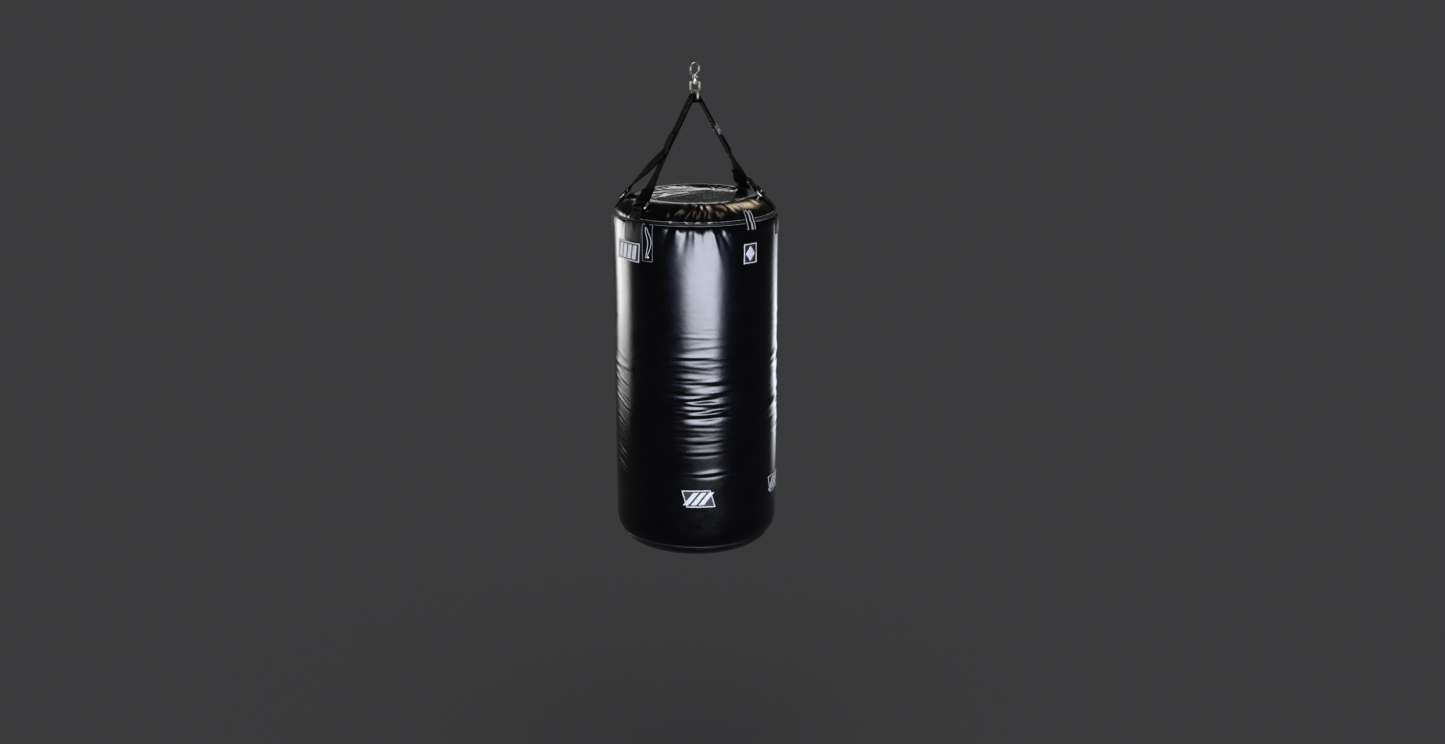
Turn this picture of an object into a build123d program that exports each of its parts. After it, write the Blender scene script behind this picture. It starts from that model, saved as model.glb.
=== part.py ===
"""Hanging heavy bag: a padded vinyl cylinder on two forked webbing straps, a strap ring and a swivel snap hook.

Millimetres, +Z up. The origin is the point inside the snap hook's crown that rests on the support,
so everything hangs below it. The two forked straps spread towards -X and +X, and the front is -Y.
A bearing is an angle about the bag's axis, from the front (-Y) towards +X.
"""
import os
from math import asin, atan2, cos, degrees, radians, sin, sqrt

from build123d import *

# ---- driving dimensions ----
bag_radius = 225
bag_foot_radius = 222
bag_height = 985
bag_top = -352
shoulder_fillet = 75
foot_fillet = 80
panel_sink = 8
panel_radius = 138
panel_edge = 144
top_seam_depth = 45
foot_seam_rise = 37

vinyl = 2.0
foam = 12.0
canvas = 1.0
layer_gap = 0.3
welt_radius = 1.4
welt_slot = 3.4

web_width = 44
web = 2.5
left, right = -1, 1
strap_lean = {left: 27.2, right: 29.3}
upper_strap_length = {left: 168, right: 184}
anchor_radius = {left: 199, right: 181}
anchor_bearing = 65
anchor_lift = 8
leg_gap = 2.2

hook_bar = 2.75
hook_loop = 11.5
pivot_x = -11.5
pivot_z = -25.5
pin_radius = 1.3
running_gap = 0.05
shank_radius = 4.0

bow_bar = 2.7
bow_half_width = 12.5
bow_bar_z = -74
ring_bar = 3.0
ring_bar_z = -91.5
ring_half_width = 27
link_gap = 0.3

# ---- derived levels and radii ----
bag_bottom = bag_top - bag_height
shoulder_r = bag_radius - shoulder_fillet
shoulder_z = bag_top - shoulder_fillet
foot_r = bag_foot_radius - foot_fillet
foot_z = bag_bottom + foot_fillet
top_seam_z = bag_top - top_seam_depth
foot_seam_z = bag_bottom + foot_seam_rise
ring_top_z = bow_bar_z + bow_bar + link_gap + ring_bar
collar_top = -37
collar_bottom = -49


def save(name, shape):
    """Writes one node's STEP file."""
    export_step(shape, f"parts/{name}.step")


def bar_along(path, radius):
    """A round bar along a path."""
    section = Plane(origin=path @ 0, z_dir=path % 0) * Circle(radius)
    return sweep(section, path=path)


def outward(bearing):
    """The horizontal unit vector that points away from the bag's axis at a bearing."""
    return Vector(sin(radians(bearing)), -cos(radians(bearing)), 0)


# ---- the bag ----
def bag_half_section(inset):
    """Half of the bag's vertical section, with its outer surface moved inwards by inset."""
    panel_z = bag_top - panel_sink - inset
    crest = (shoulder_r, bag_top - inset)
    waist = (bag_radius - inset, shoulder_z)
    heel = (bag_foot_radius - inset, foot_z)
    outline = (
        Polyline((0, panel_z), (panel_radius, panel_z), crest)
        + CenterArc((shoulder_r, shoulder_z), shoulder_fillet - inset, 0, 90)
        + Line(waist, heel)
        + CenterArc((foot_r, foot_z), foot_fillet - inset, -90, 90)
        + Polyline((foot_r, bag_bottom + inset), (0, bag_bottom + inset), (0, panel_z))
    )
    return make_face(outline.edges())


def band_between(low, high):
    """A rectangle of the half section that reaches from one level up to another."""
    return Pos(0, (low + high) / 2) * Rectangle(2 * bag_radius + 40, high - low)


def layer(inner, outer, low, high):
    """The half section of a layer of the bag between two insets and two levels."""
    return (bag_half_section(outer) - bag_half_section(inner)) & band_between(low, high)


def turned(section, angle=360):
    """Turns a half section about the bag's axis, centred on the front for part of a turn."""
    solid = revolve(Plane.XZ * section, Axis.Z, angle)
    return Rot(0, 0, -90 - angle / 2) * solid


def make_covers():
    """The four vinyl panels, kept apart at the two seams by the welts."""
    half_slot = welt_slot / 2
    skin = bag_half_section(0) - bag_half_section(vinyl)
    above_seam = band_between(top_seam_z + half_slot, 0)
    middle = Pos(0, (bag_top + top_seam_z) / 2) * Rectangle(2 * panel_edge, 4 * top_seam_depth)
    save("shell_body", turned(skin & band_between(foot_seam_z + half_slot, top_seam_z - half_slot)))
    save("shoulder_band", turned((skin & above_seam) - middle))
    rim_gap = Pos(0, bag_top) * Rectangle(2 * (panel_edge - layer_gap), 4 * top_seam_depth)
    save("top_panel", turned(skin & rim_gap & above_seam))
    save("bottom_panel", turned(skin & band_between(bag_bottom - 1, foot_seam_z - half_slot)))


def make_welts():
    """A cord of vinyl along each seam, half sunk between the panels."""
    sunk = welt_radius - 0.9
    top_r = shoulder_r + sqrt(shoulder_fillet**2 - (top_seam_z - shoulder_z) ** 2)
    foot_r_at_seam = foot_r + sqrt(foot_fillet**2 - (foot_z - foot_seam_z) ** 2)
    save("top_welt", Pos(0, 0, top_seam_z) * Torus(top_r - sunk, welt_radius))
    save("foot_welt", Pos(0, 0, foot_seam_z) * Torus(foot_r_at_seam - sunk, welt_radius))


def make_filling():
    """The foam liner, the canvas inner bag and the textile fill that it holds."""
    foam_out = vinyl + layer_gap
    foam_in = foam_out + foam
    canvas_out = foam_in + layer_gap
    canvas_in = canvas_out + canvas
    save("foam_liner", turned(bag_half_section(foam_out) - bag_half_section(foam_in)))
    save("inner_bag", turned(bag_half_section(canvas_out) - bag_half_section(canvas_in)))
    save("textile_fill", turned(bag_half_section(canvas_in + layer_gap)))


def surface_patch(bearing, width, low, high, lift, thickness):
    """A patch that follows the bag's surface, lifted off it, between two levels."""
    section = layer(-lift, -lift - thickness, low, high)
    section = section & Pos(bag_radius, (low + high) / 2) * Rectangle(2 * shoulder_fillet, high - low)
    span = degrees(width / bag_radius)
    return Rot(0, 0, bearing) * turned(section, span)


def make_patches():
    """Four sewn marks, the stitched tab under the shoulder seam and the closing tab that crosses it."""
    mark = 0.8
    upper_marks = (-510, -455)
    lower_marks = (-1181, -1129)
    places = {
        "mark_upper_left": (-70.5, 97, upper_marks),
        "mark_upper_right": (23, 46, upper_marks),
        "mark_lower_front": (-15.5, 89, lower_marks),
        "mark_lower_right": (57, 89, lower_marks),
    }
    for name, (bearing, width, (low, high)) in places.items():
        save(name, surface_patch(bearing, width, low, high, layer_gap, mark))
    clear_of_welt = 1.3
    save("stitched_tab", surface_patch(-51, 36, -503, -400, clear_of_welt, web))
    save("closing_tab", surface_patch(23.5, 30, -418, -363, clear_of_welt, web))


def make_anchor_patch(name, bearing):
    """The vinyl patch sewn to the shell just below one anchor, which spreads its pull."""
    save(f"anchor_patch_{name}", surface_patch(bearing, 70, -453, -400, layer_gap, 1.0))


# ---- snap hook and swivel ----
def make_hook():
    """The forged hook: crown, side bar, pivot tongue, neck, shank and the riveted head below the collar."""
    crown_z = hook_bar - hook_loop
    side = FilletPolyline((0, -33), (0, -30), (hook_loop, -19), (hook_loop, crown_z), radius=4)
    crown = CenterArc((0, crown_z), hook_loop, 0, 160)
    bar = bar_along(Plane.XZ * Wire(side.edges() + crown.edges()), hook_bar)
    reach = Vector(pivot_x + 2, pivot_z + 31)
    tongue_place = Pos((pivot_x - 2) / 2, (pivot_z - 31) / 2) * Rot(0, 0, degrees(atan2(reach.Y, reach.X)))
    tongue = extrude(Plane.XZ * tongue_place * SlotCenterToCenter(reach.length, 6), 1.2, both=True)
    arm = bar_along(Plane.XZ * Wire([Line((0, -31), (-5.5, -28.4)).edge()]), hook_bar)
    neck_outline = Polyline(
        (0, -27.5), (5, -28), (7, -30.5), (7.6, collar_top + 0.2), (shank_radius, collar_top + 0.2),
        (shank_radius, collar_bottom - 1.6), (6.2, collar_bottom - 1.6), (6.2, collar_bottom - 4),
        (4, collar_bottom - 6), (0, collar_bottom - 6), close=True,
    )
    neck = revolve(Plane.XZ * make_face(neck_outline), Axis.Z)
    pin_hole = Pos(pivot_x, 0, pivot_z) * Rot(90, 0, 0) * Cylinder(pin_radius, 20)
    save("hook_body", bar + tongue + arm + neck - pin_hole)


def make_gate():
    """The gate that closes the hook's mouth, its rivet pin and the coil spring round the pin."""
    fork_top = -19.5
    crotch = pivot_z + 3.4
    half_thick = 3.6
    cheek_inside = 2.3
    centre_z = (pivot_z + fork_top) / 2
    blade = Pos(pivot_x, centre_z) * Rot(0, 0, 90) * SlotCenterToCenter(fork_top - pivot_z, 5.6)
    fork = extrude(Plane.XZ * blade, half_thick, both=True)
    fork -= Pos(pivot_x, 0, crotch - 10) * Box(20, 2 * cheek_inside, 20)
    tip_z = -6.3
    finger = Pos(pivot_x, 0, (fork_top + tip_z) / 2) * Cylinder(2.4, tip_z - fork_top)
    pin_line = Pos(pivot_x, 0, pivot_z) * Rot(90, 0, 0)
    hole = pin_line * Cylinder(pin_radius + running_gap, 20)
    save("hook_gate", fork + finger - hole)
    head_gap = 0.1
    head = 0.7
    pin = pin_line * Cylinder(pin_radius, 2 * (half_thick + head_gap + head))
    for end in (-1, 1):
        pin += pin_line * Pos(0, 0, end * (half_thick + head_gap + head / 2)) * Cylinder(2.0, head)
    save("gate_pin", pin)
    coil = Helix(pitch=0.4, height=0.5, radius=1.75, center=(pivot_x, -1.5, pivot_z), direction=(0, -1, 0))
    save("gate_spring", bar_along(coil, 0.17))


def make_swivel():
    """The bell-shaped collar with its bow, which turn on the hook's shank, and the washer under the collar."""
    bell = Polyline(
        (shank_radius + running_gap, collar_top), (8, collar_top), (9.2, -40), (11.2, -43.2),
        (13.8, -45.8), (13.8, collar_bottom), (shank_radius + running_gap, collar_bottom), close=True,
    )
    collar = revolve(Plane.XZ * make_face(bell), Axis.Z)
    side_x, bar_top = bow_half_width, -47
    corners = [(-side_x, bar_top), (-side_x, bow_bar_z), (side_x, bow_bar_z), (side_x, bar_top)]
    route = FilletPolyline(*corners, radius=8)
    save("swivel_bow", collar + bar_along(Plane.XZ * Wire(route.edges()), bow_bar))
    washer = Cylinder(7, 1.4) - Cylinder(shank_radius + 0.1, 1.4)
    save("swivel_washer", Pos(0, 0, collar_bottom - 0.8) * washer)


def make_strap_ring():
    """The flat-topped ring that hangs in the bow and carries the webbing on its lower bar."""
    high, shoulder = 13, -75.5
    corners = [
        (-ring_half_width, ring_bar_z), (ring_half_width, ring_bar_z), (ring_half_width, shoulder),
        (high, ring_top_z), (-high, ring_top_z), (-ring_half_width, shoulder),
    ]
    route = FilletPolyline(*corners, radius=4, close=True)
    save("strap_ring", bar_along(Plane.YZ * Wire(route.edges()), ring_bar))


# ---- webbing ----
core_thickness = 3.8
wrap_inside = ring_bar + 0.2 + core_thickness
wrap_outside = wrap_inside + 2 * web
bar_centre = Vector(0, 0, ring_bar_z)


def strap_frame(side):
    """The direction, the outer normal and the start of the upper strap on one side."""
    lean = radians(strap_lean[side])
    along = Vector(side * sin(lean), 0, -cos(lean))
    normal = Vector(side * cos(lean), 0, sin(lean))
    start = bar_centre + normal * ((wrap_inside + wrap_outside) / 2)
    return along, normal, start


def upper_strap(side):
    """Two layers of webbing from the strap ring down to the fork."""
    along, normal, start = strap_frame(side)
    place = Plane(origin=start, x_dir=(0, 1, 0), z_dir=along)
    return extrude(place * Rectangle(web_width, 2 * web), upper_strap_length[side])


def make_crown():
    """The core round the ring's bar, the sleeve over it that joins both straps, and the keeper sewn between them."""
    leans = {side: radians(lean) for side, lean in strap_lean.items()}
    reach = 3 * wrap_outside
    corners = [(side * reach * cos(lean), reach * sin(lean)) for side, lean in leans.items()]
    wedge = make_face(Polyline((0, 0), corners[0], (0, 2 * reach), corners[1], close=True))
    ring = Circle(wrap_outside) - Circle(wrap_inside)
    sector = Pos(0, ring_bar_z) * (ring & wedge)
    save("crown_sleeve", extrude(Plane.XZ * sector, web_width / 2, both=True))
    core = Pos(0, ring_bar_z) * (Circle(wrap_inside - 0.1) - Circle(ring_bar + 0.1))
    save("crown_core", extrude(Plane.XZ * core, web_width / 2, both=True))
    keeper_top = ring_bar_z - wrap_inside - 1.4
    keeper_bottom = keeper_top - 2.3

    def inner_face_x(side, z):
        """Where the inner face of one strap lies at a level, less a little slack."""
        lean = leans[side]
        return side * (wrap_inside / cos(lean) + (ring_bar_z - z) * sin(lean) / cos(lean) - 0.1)

    trapezoid = Polyline(
        (inner_face_x(left, keeper_top), keeper_top), (inner_face_x(right, keeper_top), keeper_top),
        (inner_face_x(right, keeper_bottom), keeper_bottom), (inner_face_x(left, keeper_bottom), keeper_bottom),
        close=True,
    )
    save("crown_keeper", extrude(Plane.XZ * make_face(trapezoid), 15, both=True))


def make_buckle():
    """The slide buckle on the right strap: end bars over the webbing and a middle bar under it."""
    along, normal, start = strap_frame(right)
    place = Plane(origin=start + along * 102, x_dir=(0, 1, 0), z_dir=normal)
    bar, depth, length = 3, 2, 27
    rail_x = web_width / 2 + 0.5 + bar / 2
    bar_z = web + 0.15 + depth / 2
    buckle = Pos(0, 0, -bar_z) * Box(2 * rail_x, bar, depth)
    for end in (-1, 1):
        buckle += Pos(end * rail_x, 0, 0) * Box(bar, length, 2 * bar_z + depth)
        buckle += Pos(0, end * (length - bar) / 2, bar_z) * Box(2 * rail_x, bar, depth)
    save("slide_buckle", place.location * buckle)


def anchor_frame(bearing):
    """The frame of one anchor ring: its centre bar point, the bars' direction and the way to the fork."""
    radial = outward(bearing)
    tangent = Vector(-radial.Y, radial.X, 0)
    side = right if bearing > 0 else left
    from_centre = anchor_radius[side] - shoulder_r
    steep = atan2(sqrt(shoulder_fillet**2 - from_centre**2), from_centre)
    reach = shoulder_fillet + anchor_lift
    lower_bar = radial * (shoulder_r + reach * cos(steep)) + Vector(0, 0, shoulder_z + reach * sin(steep))
    along, normal, start = strap_frame(side)
    fork = start + along * upper_strap_length[side]
    pull = fork - lower_bar
    pull = (pull - tangent * pull.dot(tangent)).normalized()
    return radial, tangent, steep, lower_bar, pull, fork, normal


ring_wire = 2.5
ring_pitch = 18
ring_width = web_width + 7
loop_inside = ring_wire + 0.1


def make_anchor(name, bearing):
    """One anchor: the webbing tab sewn over the shoulder, with its loop, and the metal ring in the loop."""
    radial, tangent, steep, lower_bar, pull, fork, normal = anchor_frame(bearing)
    upright = Plane(origin=(0, 0, 0), x_dir=radial, z_dir=radial.cross(Vector(0, 0, 1)))
    tab_web = 3.0
    tab_low = degrees(asin((top_seam_z - shoulder_z + 4) / shoulder_fillet))
    arc_span = degrees(steep) - tab_low
    inner = shoulder_fillet + layer_gap
    outer = inner + tab_web
    wedge_reach = 2 * outer
    corners = [(0, 0)]
    for angle in (tab_low, (tab_low + degrees(steep)) / 2, tab_low + arc_span):
        corners.append((wedge_reach * cos(radians(angle)), wedge_reach * sin(radians(angle))))
    wedge = make_face(Polyline(*corners, close=True))
    band = Pos(shoulder_r, shoulder_z) * ((Circle(outer) - Circle(inner)) & wedge)
    bar_r = lower_bar.dot(radial)
    loop = Pos(bar_r, lower_bar.Z) * Circle(loop_inside + tab_web)
    hole = Pos(bar_r, lower_bar.Z) * Circle(loop_inside)
    save(f"anchor_tab_{name}", extrude(upright * (band + loop - hole), web_width / 2, both=True))
    ring_plane = Plane(origin=lower_bar + pull * (ring_pitch / 2), x_dir=tangent, z_dir=tangent.cross(pull))
    rounded = (ring_plane * RectangleRounded(ring_width, ring_pitch, 4)).wire()
    save(f"anchor_ring_{name}", bar_along(rounded, ring_wire))


def make_leg(name, bearing, layer_side):
    """One leg of a fork: flat from the fork, then turning to meet the anchor ring, and looped round its bar."""
    radial, tangent, steep, lower_bar, pull, fork, normal = anchor_frame(bearing)
    upper_bar = lower_bar + pull * ring_pitch
    across = tangent.cross(pull)
    if across.dot(normal) * layer_side < 0:
        across = across * -1
    top = fork + normal * (layer_side * (web + leg_gap) / 2)
    foot = upper_bar + across * (loop_inside + web / 2 + 0.2)
    along = (foot - top).normalized()
    width_dir = along.cross(normal).normalized()
    flat_length = 50
    section = Rectangle(web_width, web)
    first = Plane(origin=top, x_dir=width_dir, z_dir=along)
    second = Plane(origin=top + along * flat_length, x_dir=width_dir, z_dir=along)
    turn_dir = tangent if tangent.dot(width_dir) > 0 else tangent * -1
    last = Plane(origin=foot, x_dir=turn_dir, z_dir=pull * -1)
    leg = extrude(first * section, flat_length) + loft([second * section, last * section])
    loop_plane = Plane(origin=upper_bar, x_dir=pull, z_dir=tangent)
    loop = extrude(loop_plane * Circle(loop_inside + web), web_width / 2, both=True)
    hole = extrude(loop_plane * Circle(loop_inside), web_width, both=True)
    save(f"leg_{name}", leg + loop - hole - upper_strap(right if bearing > 0 else left))


def make_fork_patch(name, side):
    """The webbing patch sewn over the outside of the strap, just above its fork."""
    along, normal, start = strap_frame(side)
    length = 44
    above_fork = 13
    middle = start + along * (upper_strap_length[side] - length / 2 - above_fork)
    place = Plane(origin=middle + normal * (web + layer_gap + web / 2), x_dir=(0, 1, 0), z_dir=normal)
    save(f"fork_patch_{name}", place.location * Box(web_width + 2, length, web))


os.makedirs("parts", exist_ok=True)
make_covers()
make_welts()
make_filling()
make_patches()
make_hook()
make_gate()
make_swivel()
make_strap_ring()
make_crown()
make_buckle()
for side_name, side in {"left": left, "right": right}.items():
    save(f"upper_strap_{side_name}", upper_strap(side))
    make_fork_patch(side_name, side)
    for end_name, turn, layer_side in (("front", anchor_bearing, -1), ("rear", 180 - anchor_bearing, 1)):
        make_anchor(f"{side_name}_{end_name}", side * turn)
        make_leg(f"{side_name}_{end_name}", side * turn, layer_side)
        make_anchor_patch(f"{side_name}_{end_name}", side * turn)
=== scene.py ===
"""Looks for the hanging heavy bag: wrinkled vinyl covers, sewn webbing, stitches, marks and bright metal."""

from math import acos, asin, cos, pi, radians, sin

import bmesh
import bpy
import numpy as np
from mathutils import Matrix, Vector


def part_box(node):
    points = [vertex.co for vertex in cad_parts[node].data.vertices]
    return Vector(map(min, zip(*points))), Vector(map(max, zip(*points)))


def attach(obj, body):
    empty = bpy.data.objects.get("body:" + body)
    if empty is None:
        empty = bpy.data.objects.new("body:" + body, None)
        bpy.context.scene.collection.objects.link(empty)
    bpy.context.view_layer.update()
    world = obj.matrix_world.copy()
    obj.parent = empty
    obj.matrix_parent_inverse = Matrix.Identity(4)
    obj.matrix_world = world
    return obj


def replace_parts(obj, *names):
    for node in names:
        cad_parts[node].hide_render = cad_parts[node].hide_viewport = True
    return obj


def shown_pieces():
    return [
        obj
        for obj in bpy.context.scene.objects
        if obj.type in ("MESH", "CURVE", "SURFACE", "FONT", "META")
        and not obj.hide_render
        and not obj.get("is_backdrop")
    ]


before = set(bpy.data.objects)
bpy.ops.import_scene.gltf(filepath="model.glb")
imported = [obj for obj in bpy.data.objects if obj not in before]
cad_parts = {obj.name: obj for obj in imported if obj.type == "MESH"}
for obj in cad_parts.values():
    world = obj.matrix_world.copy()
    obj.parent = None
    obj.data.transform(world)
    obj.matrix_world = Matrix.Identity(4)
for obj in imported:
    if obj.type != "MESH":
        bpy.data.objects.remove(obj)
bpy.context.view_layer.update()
MM = 0.001
FRONT_TURN = -17  # bearing of the camera, in degrees from the front towards +X


# ---- driving dimensions, in metres ----
def middle_z(node):
    """The level halfway up a CAD node."""
    low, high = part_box(node)
    return (low.z + high.z) / 2


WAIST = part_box("shell_body")[1].x
FOOT_WAIST = WAIST - 3 * MM
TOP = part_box("shoulder_band")[1].z
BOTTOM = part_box("bottom_panel")[0].z
TOP_SEAM = middle_z("top_welt")
FOOT_SEAM = middle_z("foot_welt")
SHOULDER_FILLET = 75 * MM
FOOT_FILLET = 80 * MM
SHOULDER_R = WAIST - SHOULDER_FILLET
SHOULDER_Z = TOP - SHOULDER_FILLET
FOOT_R = FOOT_WAIST - FOOT_FILLET
FOOT_Z = BOTTOM + FOOT_FILLET
SEAM_TILT = asin((TOP_SEAM - SHOULDER_Z) / SHOULDER_FILLET)
FOOT_SEAM_TILT = asin((FOOT_Z - FOOT_SEAM) / FOOT_FILLET)
VINYL = 2 * MM
FULLNESS = 1.6 * MM
HALF_SLOT = 1.2 * MM
PANEL_R = 143.5 * MM
PANEL_SINK = 8 * MM
DISH_DEPTH = 8 * MM
LIP_FALL = 0.2  # how steeply the shoulder falls inside its crest
LIP = 6 * MM  # how far inside its crest the shoulder's cover reaches
SEAM_PINCH = 2.0 * MM
SEAM_PINCH_REACH = 7 * MM
FOOT_PINCH = 1.6 * MM
FOOT_PINCH_REACH = 6 * MM

WEB_WIDTH = 44 * MM
WEB = 2.5 * MM

# Distances down the surface from the top seam, at which its outline changes.
T_CREST = -SHOULDER_FILLET * (pi / 2 - SEAM_TILT)
T_WALL = SHOULDER_FILLET * SEAM_TILT
T_HEEL = T_WALL + SHOULDER_Z - FOOT_Z
T_FOOT_SEAM = T_HEEL + FOOT_FILLET * FOOT_SEAM_TILT
T_BASE = T_HEEL + FOOT_FILLET * pi / 2
T_CENTRE = T_BASE + FOOT_R


def down(level):
    """The distance down the surface to a level on the wall."""
    return T_WALL + SHOULDER_Z - level


# ---- the bag's surface ----
def smooth(x, low, high):
    """A smooth step from 0 at low to 1 at high."""
    x = np.clip((x - low) / (high - low), 0, 1)
    return x * x * (3 - 2 * x)


def bell(x):
    """A round hump, 1 at 0."""
    return np.exp(-x * x)


def turn_between(bearing, centre):
    """The signed angle from one bearing to another, in degrees."""
    return (bearing - centre + 180) % 360 - 180


def profile(t):
    """Radius, height and the normal's tilt at distance t down the surface from the top seam."""
    shoulder_tilt = SEAM_TILT - t / SHOULDER_FILLET
    foot_tilt = (T_HEEL - t) / FOOT_FILLET
    tilt = np.where(t < T_WALL, shoulder_tilt, np.minimum(foot_tilt, 0))
    tilt = np.clip(tilt, -pi / 2, pi / 2)
    fall = np.clip((t - T_WALL) / (T_HEEL - T_WALL), 0, 1)
    wall_r = WAIST + (FOOT_WAIST - WAIST) * fall
    past_crest = np.maximum(T_CREST - t, 0)
    past_base = np.maximum(t - T_BASE, 0)
    upper_r = SHOULDER_R + SHOULDER_FILLET * np.cos(tilt) - past_crest
    upper_z = SHOULDER_Z + SHOULDER_FILLET * np.sin(tilt) - LIP_FALL * past_crest
    lower_r = FOOT_R + FOOT_FILLET * np.cos(tilt) - past_base
    lower_z = FOOT_Z + FOOT_FILLET * np.sin(tilt)
    radius = np.where(t < T_WALL, upper_r, np.where(t > T_HEEL, lower_r, wall_r))
    height = np.where(t < T_WALL, upper_z, np.where(t > T_HEEL, lower_z, SHOULDER_Z - (t - T_WALL)))
    return radius, height, tilt


PLEAT_JITTER = 0.4  # of the even spacing
PLEAT_HALF_WIDTHS = (3.0, 6.5)  # in mm
PLEAT_LEAN = 0.6
CREASE_TILT_JITTER = 0.05
CREASE_BOW = 0.25


def make_gathers(rng, count, lengths, heights):
    """Pleats round a seam: where each one starts, how wide, long and high it is, and how it leans."""
    step = 360 / count
    return [
        (
            i * step + rng.uniform(-PLEAT_JITTER, PLEAT_JITTER) * step,
            rng.uniform(*PLEAT_HALF_WIDTHS) * MM,
            rng.uniform(*lengths) * MM,
            rng.uniform(*heights) * MM,
            rng.uniform(-PLEAT_LEAN, PLEAT_LEAN),
        )
        for i in range(count)
    ]


def make_creases(rng, count, bearings, levels, half_spans, tilt, depths, widths):
    """Creases across the bag in a window of bearings and levels."""
    return [
        (
            rng.uniform(*bearings),
            rng.uniform(*levels),
            rng.uniform(*half_spans),
            tilt + rng.uniform(-CREASE_TILT_JITTER, CREASE_TILT_JITTER),
            rng.uniform(-CREASE_BOW, CREASE_BOW),
            rng.uniform(*depths) * MM,
            rng.uniform(*widths) * MM,
        )
        for _ in range(count)
    ]


rng = np.random.default_rng(20)
SHELL_GATHERS = make_gathers(rng, 74, (16, 42), (-0.9, 1.5))
SHOULDER_GATHERS = make_gathers(rng, 60, (28, 80), (-1.6, 2.6))
FOOT_GATHERS = make_gathers(rng, 66, (10, 30), (-0.5, 0.9))
# The pleats at the front, below the seam and above it: bearing, half width, length, height (mm) and lean.
FRONT_PLEATS = [
    (-39.0, 5.0, 30, 1.6, -0.5),
    (-34.0, 4.5, 52, -1.9, -0.35),
    (-29.0, 5.5, 46, 2.4, -0.25),
    (-23.0, 6.0, 66, -2.6, -0.15),
    (-17.0, 5.0, 70, 2.7, 0.0),
    (-11.5, 5.5, 74, -2.9, 0.1),
    (-6.5, 4.5, 70, 2.8, 0.25),
    (-1.5, 4.5, 52, -2.0, 0.45),
    (3.5, 4.0, 34, 1.4, 0.6),
]
SHOULDER_PLEATS = [
    (-37.0, 5.0, 70, 2.6, 0.7),
    (-31.0, 4.0, 60, -2.2, 0.65),
    (-25.5, 5.0, 75, 3.2, 0.5),
    (-19.5, 4.0, 60, -2.6, 0.25),
    (-14.5, 4.5, 70, 3.2, 0.1),
    (-9.5, 4.0, 60, -2.6, -0.1),
    (-4.5, 4.5, 66, 3.0, -0.3),
    (1.0, 4.0, 50, -2.2, -0.3),
    (7.0, 5.0, 40, 1.8, -0.2),
]
SHELL_GATHERS += [(b, w * MM, n * MM, h * MM, lean) for b, w, n, h, lean in FRONT_PLEATS]
SHOULDER_GATHERS += [(b, w * MM, n * MM, h * MM, lean) for b, w, n, h, lean in SHOULDER_PLEATS]
CREASES = (
    make_creases(rng, 30, (-30, -2), (-1.00, -0.76), (9, 24), 0.0, (0.25, 0.75), (3.6, 6.0))
    + make_creases(rng, 20, (-26, -2), (-0.80, -0.68), (6, 16), 0.0, (0.08, 0.22), (3.0, 5.0))
    + make_creases(rng, 10, (-20, 0), (-0.93, -0.83), (9, 17), 0.08, (0.8, 1.5), (4.5, 6.5))
    + make_creases(rng, 22, (-92, -70), (-0.98, -0.78), (5, 11), -0.30, (0.3, 0.6), (2.8, 4.2))
    + make_creases(rng, 12, (48, 82), (-1.06, -0.72), (8, 20), 0.10, (0.8, 1.8), (6, 12))
    + make_creases(rng, 50, (80, 262), (-1.12, -0.60), (8, 26), 0.0, (0.3, 1.3), (4, 9))
)
# The few deep creases that stand out: bearing, level, half span, tilt, bow, depth and width (mm).
CREASES += [
    (b, z, span, tilt, bow, depth * MM, width * MM)
    for b, z, span, tilt, bow, depth, width in (
        (-12, -0.865, 22, 0.02, 0.22, 1.7, 5.5),
        (-9, -0.898, 18, -0.05, 0.32, 1.9, 6.0),
        (-8, -0.925, 17, 0.10, 0.40, 1.8, 6.5),
        (-14, -1.000, 16, 0.02, 0.18, 0.9, 5.0),
        (-13, -1.032, 15, 0.02, 0.15, 1.0, 5.0),
        (-6, -1.092, 13, 0.06, 0.25, 1.9, 5.0),
        (-82, -1.058, 9, -0.42, 0.10, 1.5, 4.0),
        (-83, -1.098, 10, -0.42, 0.10, 1.5, 4.0),
    )
]


PLEAT_START = 6 * MM  # how far from the seam a pleat is at its full height
PLEAT_SPREAD = 0.9  # how much wider a pleat is at its length than at its seam
CREASE_TIP = 0.45  # the share of its width that a crease keeps at its ends
RIDGE = 1.5  # how wide and how far away a crease's ridge is, in widths of its valley


def gather_relief(bearing, distance, pleats):
    """How far a row of pleats lifts the surface at a bearing and a distance from its seam."""
    lift = np.zeros(np.broadcast(bearing, distance).shape)
    for centre, width, length, height, lean in pleats:
        across = np.radians(turn_between(bearing, centre)) * WAIST - lean * distance
        widening = width * (1 + PLEAT_SPREAD * distance / length)
        rise = smooth(distance, 0, PLEAT_START)
        lift = lift + height * bell(across / widening) * bell(distance / length) * rise
    return lift


def crease_relief(bearing, t):
    """How far the creases move the wall: a sharp valley under a soft ridge for each."""
    lift = np.zeros(np.broadcast(bearing, t).shape)
    for centre, level, half_span, tilt, bow, depth, width in CREASES:
        turn = turn_between(bearing, centre)
        across = np.radians(turn) * WAIST
        below = t - down(level) + across * tilt + bow * across * across / WAIST
        fade = bell(turn / half_span)
        narrow = width * (CREASE_TIP + (1 - CREASE_TIP) * fade)
        ridge = RIDGE * narrow
        lift = lift + depth * fade * (bell((below + ridge) / ridge) - bell(below / narrow))
    return lift


BULGE = 0.5 * MM
BULGE_START = 60 * MM
# Relative height, number round the bag, drift down the wall and start of each set of bulges.
BULGES = ((0.9, 2, 9, 0), (0.7, 3, -14, 1), (0.5, 5, 21, 2))


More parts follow.
